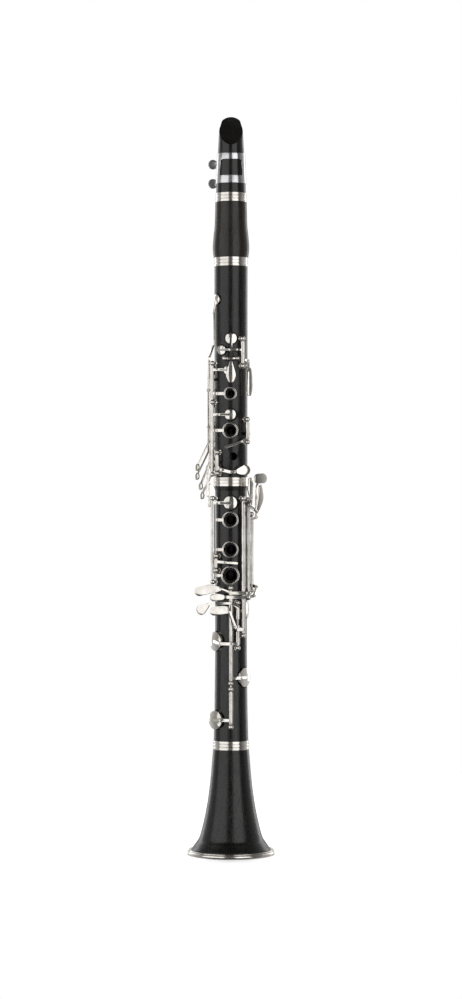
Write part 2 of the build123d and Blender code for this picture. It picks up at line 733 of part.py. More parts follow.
def make_upper_ring_key():
    parts = [tube_between(ring_rod, upper_rod, ring_middle, ring_top)]
    parts += ring_set([index_hole], ring_rod, upper_rod, upper_radius)
    vent = index_vent[1] + 0.5
    parts += ribbon([(ring_rod, upper_rod, vent), (-34, upper_radius + 3.05, vent),
                     cup_point(index_vent)], 2.2)
    parts.append(key_cup(index_vent))
    key = join(parts) - pad_room(index_vent)
    key = swung(open_rings(key, [index_hole]), ring_rod, upper_rod, -ring_swing)
    heel = strip(-112, -62, heel_radius, heel_radius + 1.1, heel_height - 1.2, heel_height + 1.2)
    return bored(join([key, heel]), ring_rod, upper_rod)


heel_radius = upper_radius + 2
heel_height = lower_top + 88


def make_bridge_key():
    parts = [tube_between(ring_rod, upper_rod, ring_low, ring_middle)]
    parts += ring_set([middle_hole], ring_rod, upper_rod, upper_radius)
    vent = bridge_vent[1]
    parts += ribbon([(ring_rod, upper_rod, vent), (-32, upper_radius + 3.05, vent),
                     cup_point(bridge_vent)], 2.2)
    parts.append(key_cup(bridge_vent))
    key = join(parts) - pad_room(bridge_vent)
    key = swung(open_rings(key, [middle_hole]), ring_rod, upper_rod, -ring_swing)
    start = ring_low + 6.5
    lever = ribbon([(ring_rod, upper_rod, start), (bridge_angle, bridge_radius[1], start),
                    (bridge_angle, bridge_radius[1], lower_top - 16)], 3, 1.2)
    return bored(join([key] + lever), ring_rod, upper_rod)


def make_lower_ring_key():
    parts = [tube_between(ring_rod, lower_rod, low_foot, low_top)]
    parts += ring_set(right_holes, ring_rod, lower_rod, lower_radius)
    vent = lower_vent[1]
    parts += ribbon([(ring_rod, lower_rod, vent), (-34, lower_radius + 3, vent), cup_point(lower_vent)])
    parts.append(key_cup(lower_vent))
    key = join(parts) - pad_room(lower_vent)
    key = swung(open_rings(key, right_holes), ring_rod, lower_rod, -ring_swing)
    start = low_top - 6.5
    lever = ribbon([(ring_rod, lower_rod, start), (bridge_angle, bridge_radius[0], start),
                    (bridge_angle, bridge_radius[0], lower_top - 7)], 3, 1.2)
    return bored(join([key] + lever), ring_rod, lower_rod)


save("upper_ring_key", make_upper_ring_key())
save("upper_ring_pad", swung(key_pad(index_vent), ring_rod, upper_rod, -ring_swing))
save("bridge_key", make_bridge_key())
save("bridge_pad", swung(key_pad(bridge_vent), ring_rod, upper_rod, -ring_swing))
save("lower_ring_key", make_lower_ring_key())
save("lower_ring_pad", swung(key_pad(lower_vent), ring_rod, lower_rod, -ring_swing))

# thumb ring key, on the back
thumb_swing = 9.0


def make_thumb_ring_key():
    high, low = [z for a, z in upper_posts if a == thumb_rod]
    angle, height, _, hole, wall = thumb_hole
    level = upper_radius + ring_lift
    ring = finger_ring(angle, level, height, hole, wall)
    edge = around(180, level + ring_thick / 2, height) - Vector(hole + wall * 0.5, 0, 0)
    arm = bar(around(thumb_rod, upper_rod, height), edge, 180)
    key = swung(open_rings(join([ring, arm]), [thumb_hole]), thumb_rod, upper_rod, thumb_swing)
    tail = strip(thumb_rod, -104, upper_radius + 0.4, heel_radius - 0.7, heel_height - 1.2,
                 heel_height + 1.2)
    block = stud(thumb_rod, upper_radius + 0.4, upper_rod, heel_height, 1.3)
    return bored(join([tube_between(thumb_rod, upper_rod, low, high), key, tail, block]), thumb_rod,
                 upper_rod)


save("thumb_ring_key", make_thumb_ring_key())


# keys on rods across the bore
def make_cross_key(place, pivot, route, touch, width=arm_width):
    angle, height, radius, side, ball, _ = pivot
    barrel_half = side - ball - 0.15
    parts = [cross_line(angle, height, radius, cross_pin + 0.9, 2 * barrel_half)]
    parts += ribbon([cup_point(place)] + route, width)
    parts += [touch, key_cup(place)]
    return join(parts) - pad_room(place) - cross_line(angle, height, radius, cross_pin + running, 20)


a_level = a_pivot[1]
a_touch = petal(0, upper_radius + 5.65, a_level - 15.3, [(0, 0, 4.4), (0, 11.2, 1.3), (0, -3.6, 2.9)])
a_route = [(0, cross_rod + 0.6, a_level), (0, upper_radius + 6.25, a_level - 5)]
save("a_key", make_cross_key(a_hole, a_pivot, a_route, a_touch))

register_level = register_pivot[1]
register_touch = petal(180, upper_radius + 4.85, register_level - 18.5, [(0, 0, 4.4), (0, 11, 1.6)])
register_route = [(180, cross_rod + 0.6, register_level), (180, upper_radius + 5.45, register_level - 9)]
save("register_key", make_cross_key(register_hole, register_pivot, register_route, register_touch))

trill_touches = [(-82, upper_radius + 16.25, lower_top + 9), (-93, upper_radius + 16.25, lower_top + 1),
                 (-102, upper_radius + 13.75, lower_top - 8),
                 (-110.7, upper_radius + 13.65, lower_top - 16.5)]
trill_starts = [
    [(-60, upper_radius + 3.15, lower_top + 148), (-60, upper_radius + 3.45, lower_top + 119),
     (-80, upper_radius + 5.25, lower_top + 108)], [], [], []]
for number, (place, pivot, end, start) in enumerate(
        zip(trill_holes, trill_pivots, trill_touches, trill_starts), 1):
    lane = pivot[0]
    near = [] if start else [(lane, upper_radius + 3.25, place[1] - 3), (lane, trill_rod, place[1] - 8)]
    bend = end[2] + 22
    route = start + near + [(lane, trill_rod, pivot[1]), (lane, trill_rod, min(bend, pivot[1] - 4)),
                            (end[0], end[1], end[2])]
    knob = petal(-55, 0, 0, [(0, 0, 3.3)])
    knob = knob.moved(Location(around(*end) - outward(-55) * 0.9))
    save("trill_key_" + str(number), make_cross_key(place, pivot, route, knob, 2.2))
    save("trill_pad_" + str(number), key_pad(place))
save("a_pad", key_pad(a_hole))
save("register_pad", key_pad(register_hole))


# closed keys on rods up the bore, upper joint
def rod_levels(places, angle):
    levels = sorted(z for a, z in places if a == angle)
    return levels[0], levels[-1]


def make_g_sharp_key():
    low, high = rod_levels(upper_posts, g_sharp_rod)
    level = g_sharp_hole[1]
    parts = [tube_between(g_sharp_rod, upper_rod, low, high)]
    parts += ribbon([(g_sharp_rod, upper_rod, level), (14, upper_radius + 6.05, level),
                     (-8, upper_radius + 6.05, level),
                     cup_point(g_sharp_hole)], 2.0)
    parts += ribbon([(g_sharp_rod, upper_rod, low + 6.5), (45, upper_radius + 6.65, low + 4.5),
                     (46, upper_radius + 6.65, low - 4)])
    parts.append(petal(40, upper_radius + 5.85, low - 23.5, [(4.1, 0, 3.3), (3.6, 20, 2.0)]))
    parts.append(key_cup(g_sharp_hole))
    return bored(join(parts) - pad_room(g_sharp_hole), g_sharp_rod, upper_rod)


def make_upper_sliver_key():
    low, high = rod_levels(upper_posts, sliver_rod)
    parts = [tube_between(sliver_rod, upper_rod, low, high)]
    parts += ribbon([(sliver_rod, upper_rod, upper_sliver_hole[1]), cup_point(upper_sliver_hole)])
    parts += ribbon([(sliver_rod, upper_rod, low + 4), (28, upper_radius + 4.95, low + 0.2),
                     (-14, upper_radius + 4.65, low - 4.8)], 2.2)
    parts.append(key_cup(upper_sliver_hole))
    return bored(join(parts) - pad_room(upper_sliver_hole), sliver_rod, upper_rod)


def make_c_sharp_key():
    low, high = rod_levels(upper_posts, c_sharp_rod)
    level = c_sharp_hole[1]
    parts = [tube_between(c_sharp_rod, upper_rod, low, high)]
    parts.append(strip(c_sharp_hole[0], c_sharp_rod, upper_radius + 0.6, upper_radius + 1.7,
                       level - 1.3, level + 1.3))
    parts.append(stud(c_sharp_rod, upper_radius + 0.6, upper_rod, level, 1.3))
    parts += ribbon([(c_sharp_rod, upper_rod, low + 6), (-25, upper_radius + 5.75, low + 3),
                     (0, upper_radius + 5.85, low + 1),
                     (14, upper_radius + 6.85, low + 1.6)])
    parts.append(petal(20, upper_radius + 6.25, low + 2.6, [(5.6, 0.2, 4.7), (-1.5, -1, 2.2)]))
    parts.append(key_cup(c_sharp_hole))
    return bored(join(parts) - pad_room(c_sharp_hole), c_sharp_rod, upper_rod)


save("g_sharp_key", make_g_sharp_key())
save("g_sharp_pad", key_pad(g_sharp_hole))
save("upper_sliver_key", make_upper_sliver_key())
save("upper_sliver_pad", key_pad(upper_sliver_hole))
save("c_sharp_key", make_c_sharp_key())
save("c_sharp_pad", key_pad(c_sharp_hole))


# ---- keys of the lower joint ----
def make_lower_sliver_key():
    low, high = rod_levels(lower_posts, lower_sliver_rod)
    parts = [tube_between(lower_sliver_rod, lower_rod, low, high)]
    level = lower_sliver_hole[1] - 1.4
    parts.append(strip(lower_sliver_hole[0], lower_sliver_rod, lower_radius + 0.55, lower_radius + 1.65,
                       level - 1.2, level + 1.2))
    parts.append(stud(lower_sliver_rod, lower_radius + 0.55, lower_rod, level, 1.2))
    parts += ribbon([(lower_sliver_rod, lower_rod, high - 5), (-15, lower_radius + 5.4, high - 5.6),
                     (15, lower_radius + 5.1, high - 6.4)], 2.2)
    parts.append(key_cup(lower_sliver_hole))
    return bored(join(parts) - pad_room(lower_sliver_hole), lower_sliver_rod, lower_rod)


touch_angle = -25           # the way the right little finger's touches look
touch_level = 22.6
pressed_level = 20.8        # the same for a key that stands open, built closed
low_swing = 9.0
f_c_swing = 7.5
f_c_foot = lower_bottom + 101       # where the left hand's lever meets this key
upper_row = lower_bottom + 129.6
lower_row = lower_bottom + 118.2
f_sharp_arm = upper_row + 0.2
e_b_arm = lower_bottom + 133.4


def make_f_c_key():
    low, high = rod_levels(lower_posts, f_c_rod)
    level = f_c_hole[1] - 1.6
    parts = [tube_between(f_c_rod, lower_rod, low, low + 23)]
    parts += ribbon([(f_c_rod, lower_rod, level), (0, lower_radius + 8.1, level),
                     (-30, lower_radius + 5.7, level),
                     cup_point(f_c_hole)])
    parts += ribbon([(f_c_rod, lower_rod, low + 15), (8, lower_radius + 7.9, low + 19),
                     (-5, lower_radius + 8.7, lower_row - 2)])
    parts.append(petal(touch_angle, pressed_level, lower_row,
                       [(-6.8, -1.0, 4.0), (4, 0.6, 3.6), (6.5, -0.4, 2.4)]))
    parts.append(key_cup(f_c_hole))
    key = swung(join(parts) - pad_room(f_c_hole), f_c_rod, lower_rod, f_c_swing)
    tail = bar(around(f_c_rod, lower_rod + 2.3, f_c_foot), Vector(9.8, -21.5, f_c_foot), 20, 3)
    tail = join([tail, stud(f_c_rod, lower_rod, lower_rod + 2.3, f_c_foot, 1.5)])
    return bored(join([key, tail]), f_c_rod, lower_rod)


def make_a_flat_key():
    low, high = rod_levels(lower_posts, f_c_rod)
    level = a_flat_hole[1] - 1.3
    tube_low = low + 23 + 3
    parts = [sleeve(f_c_rod, lower_rod, tube_low, high - post_ball - post_gap)]
    parts.append(strip(f_c_rod, a_flat_hole[0], lower_radius + 0.45, lower_radius + 1.65, level - 1.3,
                       level + 1.3))
    parts.append(stud(f_c_rod, lower_radius + 0.45, lower_rod, level, 1.3))
    bridge = lower_row + 6.2
    parts += [bar(Vector(-20.5, -17.6, lower_row + 4.8), Vector(-14.5, -20.6, bridge), touch_angle, 2.0),
              bar(Vector(-14.5, -20.6, bridge), Vector(0.5, -23.1, bridge), -10, 2.0),
              bar(Vector(0.5, -23.1, bridge), around(f_c_rod, lower_rod + 1.2, high - 4), 10, 2.2)]
    parts.append(petal(touch_angle, touch_level, lower_row, [(-18.5, 0, 4.6), (-11, 5.0, 1.2)]))
    parts.append(key_cup(a_flat_hole))
    return bored(join(parts) - pad_room(a_flat_hole), f_c_rod, lower_rod)


def make_f_sharp_key():
    levels = sorted(z for a, z in lower_posts if a == low_rod)
    level = f_sharp_hole[1]
    arm = f_sharp_arm
    parts = [sleeve(low_rod, lower_rod, levels[2] + post_ball + post_gap, arm + 1.3)]
    parts += ribbon([(low_rod, lower_rod, level), (30, lower_radius + 3.7, level),
                     cup_point(f_sharp_hole)])
    parts += [bar(around(low_rod, lower_rod, arm), Vector(-7, -22.2, arm), -10)]
    parts.append(petal(touch_angle, touch_level, upper_row,
                       [(-6.3, -0.4, 3.4), (2.5, 0.4, 2.6), (-2, 0.2, 3.2)]))
    parts += [bar(around(low_rod, lower_rod + 1.2, arm), Vector(9.5, -21.6, arm), 5, 2.6)]
    parts.append(key_cup(f_sharp_hole))
    return bored(join(parts) - pad_room(f_sharp_hole), low_rod, lower_rod)


def make_e_b_key():
    levels = sorted(z for a, z in lower_posts if a == low_rod)
    level = e_b_hole[1] + 0.4
    arm = e_b_arm
    parts = [rod_piece(low_rod, lower_rod, levels[0] - 1.8, levels[3] + 1.8)]
    parts.append(sleeve(low_rod, lower_rod, levels[0] + post_ball + post_gap,
                        levels[1] - post_ball - post_gap))
    parts.append(sleeve(low_rod, lower_rod, arm - 1.4, arm + 1.4))
    parts += ribbon([(low_rod, lower_rod, level), (-30, lower_radius + 3.9, level), cup_point(e_b_hole)])
    parts += [bar(around(low_rod, lower_rod, arm), Vector(-8.5, -20.6, arm + 3.2), touch_angle, 2.4)]
    parts.append(petal(touch_angle, pressed_level, arm + 1.9,
                       [(-20.5, -0.6, 4.2), (-11, 2.2, 3.5), (-1, 1.8, 2.0)]))
    parts.append(key_cup(e_b_hole))
    key = swung(join(parts) - pad_room(e_b_hole), low_rod, lower_rod, low_swing)
    tail = bar(around(low_rod, lower_rod + 1.2, arm), Vector(9.5, -21.6, arm), 5, 2.6)
    return join([key, tail])


save("lower_sliver_key", make_lower_sliver_key())
save("lower_sliver_pad", key_pad(lower_sliver_hole))
save("f_c_key", make_f_c_key())
save("f_c_pad", swung(key_pad(f_c_hole), f_c_rod, lower_rod, f_c_swing))
save("a_flat_e_flat_key", make_a_flat_key())
save("a_flat_e_flat_pad", key_pad(a_flat_hole))
save("f_sharp_c_sharp_key", make_f_sharp_key())
save("f_sharp_c_sharp_pad", key_pad(f_sharp_hole))
save("e_b_key", make_e_b_key())
save("e_b_pad", swung(key_pad(e_b_hole), low_rod, lower_rod, low_swing))


# left little finger's levers: a touch above, a long tube and an arm to a key below
def path(points, angle, width=2.6, thick=1.4):
    return [bar(Vector(*a), Vector(*b), angle, width, thick) for a, b in zip(points, points[1:])]




def make_left_f_c_lever():
    angle = lever_rods[0]
    low, high = rod_levels(lower_posts, angle)
    parts = [tube_between(angle, lower_rod, low, high)]
    parts += path([tuple(around(angle, lower_rod + 1.2, high - 5)), (17.2, -17.4, high - 2),
                   (18.2, -17.0, high + 6)], 38, 3)
    parts.append(petal(42, 23.6, lower_top - 10, [(2.0, 7, 2.8), (1.6, -1, 3.3), (3.8, -14, 1.0)]))
    parts += path([tuple(around(angle, lower_rod + 0.8, f_c_foot)), (10.3, -18.9, f_c_foot)], 30)
    return bored(join(parts), angle, lower_rod)


def make_left_e_b_lever():
    angle = lever_rods[1]
    low, high = rod_levels(lower_posts, angle)
    parts = [tube_between(angle, lower_rod, low, high)]
    parts += path([tuple(around(angle, lower_rod, high - 5)), (21.0, -14.2, high - 9),
                   (23.0, -18.0, high - 10)], 50, 3)
    parts.append(petal(50, 29.0, lower_top - 18, [(6.8, 8, 3.4), (6.6, 0, 3.0), (0.6, -13, 1.3)]))
    parts += path([tuple(around(angle, lower_rod, e_b_arm)), (17.2, -16.5, e_b_arm)], 60)
    parts += path([(17.2, -16.5, e_b_arm), (13.4, -19.7, e_b_arm)], 45)
    parts += path([(13.4, -19.7, e_b_arm), (8.6, -19.7, e_b_arm)], 5)
    return bored(join(parts), angle, lower_rod)


def make_left_f_sharp_lever():
    angle = lever_rods[2]
    low, high = rod_levels(lower_posts, angle)
    parts = [tube_between(angle, lower_rod, low, high)]
    stem = [tuple(around(angle, lower_rod, high - 5)), (22.8, -6.0, high - 3),
            (23.2, -9.0, lower_top - 9),
            (24.6, -14.2, lower_top - 2.5)]
    parts += path(stem, 62, 3)
    parts.append(petal(45, 27.0, lower_top - 1.2, [(6.5, 0, 4.4), (13.5, 0.4, 4.4)]))
    arm = f_sharp_arm
    parts += path([tuple(around(angle, lower_rod, low + 4.6)), (22.8, -9.0, low + 3.4)], 75)
    parts += path([(22.8, -9.0, low + 3.4), (20.8, -14.6, arm + 1)], 60)
    parts += path([(20.8, -14.6, arm + 1), (15.6, -19.8, arm)], 42)
    parts += path([(15.6, -19.8, arm), (8.6, -19.8, arm)], 5)
    return bored(join(parts), angle, lower_rod)


save("left_f_c_lever", make_left_f_c_lever())
save("left_e_b_lever", make_left_e_b_lever())
save("left_f_sharp_lever", make_left_f_sharp_lever())
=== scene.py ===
import json
import math

import bmesh
import bpy
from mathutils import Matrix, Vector
from mathutils.geometry import interpolate_bezier


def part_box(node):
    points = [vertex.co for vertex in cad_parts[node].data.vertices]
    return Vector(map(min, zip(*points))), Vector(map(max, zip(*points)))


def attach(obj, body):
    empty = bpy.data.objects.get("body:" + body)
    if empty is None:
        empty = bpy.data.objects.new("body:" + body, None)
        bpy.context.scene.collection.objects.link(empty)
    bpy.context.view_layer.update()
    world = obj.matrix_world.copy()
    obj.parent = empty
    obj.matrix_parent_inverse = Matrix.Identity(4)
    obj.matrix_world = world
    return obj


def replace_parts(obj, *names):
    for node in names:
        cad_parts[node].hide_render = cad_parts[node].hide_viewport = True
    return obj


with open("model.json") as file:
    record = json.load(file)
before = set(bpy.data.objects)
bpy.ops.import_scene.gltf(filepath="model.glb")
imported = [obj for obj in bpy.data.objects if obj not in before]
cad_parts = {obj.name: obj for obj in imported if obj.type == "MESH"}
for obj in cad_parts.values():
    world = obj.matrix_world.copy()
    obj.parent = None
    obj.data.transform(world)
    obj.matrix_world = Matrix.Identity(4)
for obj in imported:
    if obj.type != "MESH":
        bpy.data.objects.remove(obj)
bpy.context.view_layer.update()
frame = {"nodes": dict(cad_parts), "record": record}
print("frame loaded:", len(frame["nodes"]), "nodes")

# ---- studio ----
studio = {
    "cameraDistance": 2.4,
    "cameraHeight": 0.329,
    "lens": 95.9,
    "sensor": 36,
    "shift": -0.0105,
    "clipStart": 0.01,
    "backdrop": (1.0, 1.0, 1.0),
    "fill": (1.0, 1.0, 1.0),
    "fillFront": 0.10,
    "fillBack": 0.70,
    "frontToBack": (-0.35, 0.8),
    "topAndBottom": 0.35,
    "sideToPole": (0.25, 0.9),
    "floorRadius": 1.3,
    "floorColour": (0.92, 0.92, 0.92),
    "floorRoughness": 0.55,
    "floorFade": (0.04, 0.60),
    "floorSegments": 96,
}
# place, aimed at, width, height, power
softLights = {
    "leftBox": ((-0.833, -0.724, 0.42), (0, 0, 0.36), 1.33, 1.7, 7.3),
    "rightBox": ((0.593, -0.931, 0.42), (0, 0, 0.36), 0.87, 1.7, 5.7),
    "overhead": ((0, 0.75, 1.9), (0, 0.1, 0.2), 1.2, 1.2, 70),
    "rimLeft": ((-1.0, 1.1, 0.6), (0, 0, 0.36), 0.5, 1.4, 3),
    "rimRight": ((1.0, 1.1, 0.6), (0, 0, 0.36), 0.5, 1.4, 3),
}


def makeCamera():
    data = bpy.data.cameras.new("camera")
    data.lens = studio["lens"]
    data.sensor_width = studio["sensor"]
    data.shift_y = studio["shift"]
    data.clip_start = studio["clipStart"]
    camera = bpy.data.objects.new("camera", data)
    camera.location = (0, -studio["cameraDistance"], studio["cameraHeight"])
    camera.rotation_euler = (math.radians(90), 0, 0)
    bpy.context.scene.collection.objects.link(camera)
    bpy.context.scene.camera = camera


def makeLights():
    # the overhead one lights the floor behind, and is kept out of reflections
    for name, (place, target, width, height, power) in softLights.items():
        data = bpy.data.lights.new(name, "AREA")
        data.shape = "RECTANGLE"
        data.size = width
        data.size_y = height
        data.energy = power
        light = bpy.data.objects.new(name, data)
        light.location = place
        light.visible_camera = False
        light.visible_glossy = name != "overhead"
        aim = Vector(target) - Vector(place)
        light.rotation_euler = aim.to_track_quat("-Z", "Y").to_euler()
        bpy.context.scene.collection.objects.link(light)


def makeWorld():
    # the camera sees a plain white backdrop, while the light on the object is softer
    world = bpy.data.worlds.new("studio")
    bpy.context.scene.world = world
    world.use_nodes = True
    nodes, links = world.node_tree.nodes, world.node_tree.links
    output = nodes["World Output"]
    fill = nodes["Background"]
    fill.inputs["Color"].default_value = (*studio["fill"], 1)
    # the room is dim on the camera's side and lighter behind the object
    direction = nodes.new("ShaderNodeTexCoord")
    split = nodes.new("ShaderNodeSeparateXYZ")
    depth = nodes.new("ShaderNodeMapRange")
    depth.inputs["From Min"].default_value = studio["frontToBack"][0]
    depth.inputs["From Max"].default_value = studio["frontToBack"][1]
    depth.inputs["To Min"].default_value = studio["fillFront"]
    depth.inputs["To Max"].default_value = studio["fillBack"]
    links.new(direction.outputs["Object"], split.inputs[0])
    links.new(split.outputs["Y"], depth.inputs["Value"])
    # and dimmer again above and below
    height = nodes.new("ShaderNodeMath")
    height.operation = "ABSOLUTE"
    band = nodes.new("ShaderNodeMapRange")
    band.inputs["From Min"].default_value = studio["sideToPole"][0]
    band.inputs["From Max"].default_value = studio["sideToPole"][1]
    band.inputs["To Min"].default_value = 1
    band.inputs["To Max"].default_value = studio["topAndBottom"]
    level = nodes.new("ShaderNodeMath")
    level.operation = "MULTIPLY"
    links.new(split.outputs["Z"], height.inputs[0])
    links.new(height.outputs[0], band.inputs["Value"])
    links.new(depth.outputs["Result"], level.inputs[0])
    links.new(band.outputs["Result"], level.inputs[1])
    links.new(level.outputs[0], fill.inputs["Strength"])
    backdrop = nodes.new("ShaderNodeBackground")
    backdrop.inputs["Color"].default_value = (*studio["backdrop"], 1)
    seen = nodes.new("ShaderNodeLightPath")
    mix = nodes.new("ShaderNodeMixShader")
    links.new(seen.outputs["Is Camera Ray"], mix.inputs["Fac"])
    links.new(fill.outputs[0], mix.inputs[1])
    links.new(backdrop.outputs[0], mix.inputs[2])
    links.new(mix.outputs[0], output.inputs["Surface"])
    bpy.context.scene.view_settings.view_transform = "Standard"


def makeFloor():
    # a pale disc that fades out, so that no horizon shows
    bm = bmesh.new()
    bmesh.ops.create_circle(bm, cap_ends=True, segments=studio["floorSegments"],
                            radius=studio["floorRadius"])
    mesh = bpy.data.meshes.new("floor")
    bm.to_mesh(mesh)
    bm.free()
    floor = bpy.data.objects.new("floor", mesh)
    bpy.context.scene.collection.objects.link(floor)
    material = bpy.data.materials.new("paleFloor")
    material.use_nodes = True
    nodes, links = material.node_tree.nodes, material.node_tree.links
    shader = nodes["Principled BSDF"]
    shader.inputs["Base Color"].default_value = (*studio["floorColour"], 1)
    shader.inputs["Roughness"].default_value = studio["floorRoughness"]
    place = nodes.new("ShaderNodeTexCoord")
    length = nodes.new("ShaderNodeVectorMath")
    length.operation = "LENGTH"
    fade = nodes.new("ShaderNodeMapRange")
    fade.interpolation_type = "SMOOTHSTEP"
    fade.inputs["From Min"].default_value = studio["floorRadius"] * studio["floorFade"][0]
    fade.inputs["From Max"].default_value = studio["floorRadius"] * studio["floorFade"][1]
    fade.inputs["To Min"].default_value = 1
    fade.inputs["To Max"].default_value = 0
    links.new(place.outputs["Object"], length.inputs[0])
    links.new(length.outputs["Value"], fade.inputs["Value"])
    links.new(fade.outputs["Result"], shader.inputs["Alpha"])
    mesh.materials.append(material)
    floor.visible_glossy = False


makeCamera()
makeLights()
makeWorld()
makeFloor()
print("studio ready")


# ---- shared effects ----
def newGroup(name, inputs, outputs):
    group = bpy.data.node_groups.new(name, "ShaderNodeTree")
    for label, value in inputs.items():
        socket = group.interface.new_socket(label, in_out="INPUT", socket_type="NodeSocketFloat")
        socket.default_value = value
    for label in outputs:
        group.interface.new_socket(label, in_out="OUTPUT", socket_type="NodeSocketFloat")
    return group, group.nodes.new("NodeGroupInput"), group.nodes.new("NodeGroupOutput")


def stretchedPlace(group, across, along):
    # object coordinates, with their own scale across the bore and up it
    nodes, links = group.nodes, group.links
    place = nodes.new("ShaderNodeTexCoord")
    factors = nodes.new("ShaderNodeCombineXYZ")
    for axis, source in zip("XYZ", (across, across, along)):
        links.new(source, factors.inputs[axis])
    scaled = nodes.new("ShaderNodeVectorMath")
    scaled.operation = "MULTIPLY"
    links.new(place.outputs["Object"], scaled.inputs[0])
    links.new(factors.outputs[0], scaled.inputs[1])
    return scaled.outputs[0]


def noiseMask(group, vector, low, high, detail=4.0, rough=0.6, scale=1.0):
    nodes, links = group.nodes, group.links
    noise = nodes.new("ShaderNodeTexNoise")
    noise.inputs["Scale"].default_value = scale
    noise.inputs["Detail"].default_value = detail
    noise.inputs["Roughness"].default_value = rough
    links.new(vector, noise.inputs["Vector"])
    mask = nodes.new("ShaderNodeMapRange")
    mask.inputs["From Min"].default_value = low
    mask.inputs["From Max"].default_value = high
    links.new(noise.outputs["Fac"], mask.inputs["Value"])
    return mask.outputs["Result"]


def makeGrain():
    # broad streaks for colour, and fine pores that are also a height
    sizes = {"Across": 300, "Along": 9, "Pores": 1400, "Pore Length": 110}
    group, given, result = newGroup("grain", sizes, ["Streak", "Pore"])
    streak = stretchedPlace(group, given.outputs["Across"], given.outputs["Along"])
    pore = stretchedPlace(group, given.outputs["Pores"], given.outputs["Pore Length"])
    group.links.new(noiseMask(group, streak, 0.36, 0.66), result.inputs["Streak"])
    group.links.new(noiseMask(group, pore, 0.52, 0.68, 2.0), result.inputs["Pore"])
    return group


def makeHandling():
    # soft smudges from fingers, and hairline marks
    sizes = {"Smudge Size": 60, "Mark Size": 900}
    group, given, result = newGroup("handling", sizes, ["Smudge", "Mark"])
    soft = stretchedPlace(group, given.outputs["Smudge Size"], given.outputs["Smudge Size"])
    fine = stretchedPlace(group, given.outputs["Mark Size"], given.outputs["Smudge Size"])
    group.links.new(noiseMask(group, soft, 0.38, 0.68, 3.0), result.inputs["Smudge"])
    group.links.new(noiseMask(group, fine, 0.62, 0.74, 1.0), result.inputs["Mark"])
    return group


def makeTurning():
    # the faint rings that a lathe leaves round the bore
    group, given, result = newGroup("turning", {"Rings": 2600}, ["Ring"])
    still = group.nodes.new("ShaderNodeValue")
    still.outputs[0].default_value = 12
    lines = stretchedPlace(group, still.outputs[0], given.outputs["Rings"])
    group.links.new(noiseMask(group, lines, 0.3, 0.7, 1.0), result.inputs["Ring"])
    return group


grainGroup = makeGrain()
handlingGroup = makeHandling()
turningGroup = makeTurning()
print("effects ready")


# ---- finishes ----
class Finish:
    # a material with its Principled shader and the few links that every finish needs
    def __init__(self, name, **sockets):
        self.material = bpy.data.materials.new(name)
        self.material.use_nodes = True
        self.nodes = self.material.node_tree.nodes
        self.links = self.material.node_tree.links
        self.shader = self.nodes["Principled BSDF"]
        for label, value in sockets.items():
            self.shader.inputs[label.replace("_", " ")].default_value = value

    def effect(self, group, **values):
        node = self.nodes.new("ShaderNodeGroup")
        node.node_tree = group
        for label, value in values.items():
            node.inputs[label.replace("_", " ")].default_value = value
        return node

    def colours(self, mask, first, second):
        mix = self.nodes.new("ShaderNodeMix")
        mix.data_type = "RGBA"
        self.links.new(mask, mix.inputs[0])
        for socket, colour in ((mix.inputs[6], first), (mix.inputs[7], second)):
            if isinstance(colour, tuple):
                socket.default_value = (*colour, 1)
            else:
                self.links.new(colour, socket)
        return mix.outputs[2]

    def range(self, mask, low, high):
        node = self.nodes.new("ShaderNodeMapRange")
        node.inputs["To Min"].default_value = low
        node.inputs["To Max"].default_value = high
        self.links.new(mask, node.inputs["Value"])
        return node.outputs["Result"]

    def mixed(self, first, second, share=0.5):
        node = self.nodes.new("ShaderNodeMix")
        node.inputs[0].default_value = share
        self.links.new(first, node.inputs[2])
        self.links.new(second, node.inputs[3])
        return node.outputs[0]

    def paint(self, colour=None, roughness=None, height=None, depth=0.0001, strength=0.3):
        if colour is not None:
            self.links.new(colour, self.shader.inputs["Base Color"])
        if roughness is not None:
            self.links.new(roughness, self.shader.inputs["Roughness"])
        if height is not None:
            bump = self.nodes.new("ShaderNodeBump")
            bump.inputs["Strength"].default_value = strength
            bump.inputs["Distance"].default_value = depth
            self.links.new(height, bump.inputs["Height"])
            self.links.new(bump.outputs["Normal"], self.shader.inputs["Normal"])
        return self.material


woods = {
    "grenadilla": {"dark": (0.0018, 0.0016, 0.0015), "light": (0.0085, 0.0075, 0.0066),
                   "pore": (0.001, 0.001, 0.001), "smooth": 0.20, "rough": 0.28},
    "barrelWood": {"dark": (0.005, 0.0036, 0.0028), "light": (0.020, 0.0155, 0.011),
                   "pore": (0.002, 0.0015, 0.001), "smooth": 0.24, "rough": 0.34},
}
metals = {
    "silverPlate": {"clean": (0.90, 0.87, 0.83), "dull": (0.70, 0.66, 0.60),
                    "smooth": 0.10, "rough": 0.26},
    "polishedBush": {"clean": (0.82, 0.80, 0.77), "dull": (0.60, 0.57, 0.52),
                     "smooth": 0.16, "rough": 0.34},
    "ligatureMetal": {"clean": (0.73, 0.72, 0.735), "dull": (0.56, 0.55, 0.565),
                      "smooth": 0.16, "rough": 0.30},
    "turnedSteel": {"clean": (0.62, 0.62, 0.62), "dull": (0.44, 0.43, 0.42),
                    "smooth": 0.22, "rough": 0.40},
}
